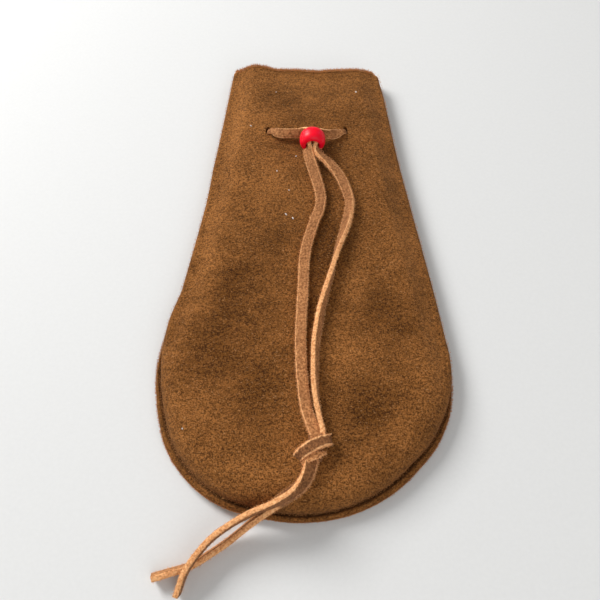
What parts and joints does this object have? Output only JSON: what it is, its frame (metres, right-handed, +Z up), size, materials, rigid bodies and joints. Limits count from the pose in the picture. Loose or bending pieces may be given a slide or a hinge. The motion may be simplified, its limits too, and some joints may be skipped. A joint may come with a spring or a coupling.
{
  "type": "drawstring pouch",
  "caption": "Flat suede drawstring pouch with a tapered neck and a round bottom, closed by one flat leather lace with a bead lock and a knot.",
  "frame": {"origin": "on the ground under the middle of the two panels, as the pouch lies on its back panel", "axes": "+X across the pouch, +Y from the round bottom to the mouth, +Z up out of the front panel"},
  "size_m": [0.0906, 0.1868, 0.0183],
  "materials": {
    "suede": "napped suede",
    "lace_leather": "rough, with pale cut edges",
    "red_plastic": "gloss"
  },
  "bodies": {
    "pouch": {"front_panel": "suede", "back_panel": "suede", "neck_lace": "lace_leather", "left_strand": "lace_leather", "right_strand": "lace_leather", "knot": "lace_leather", "upper_tail": "lace_leather", "lower_tail": "lace_leather"},
    "bead": {"bead": "red_plastic"}
  },
  "joints": [
    {"name": "bead_slide", "type": "slide", "parent": "pouch", "child": "bead", "axis": [0, -1, 0], "range_m": [0, 0.1003], "deforming": ["left_strand", "right_strand"]}
  ]
}
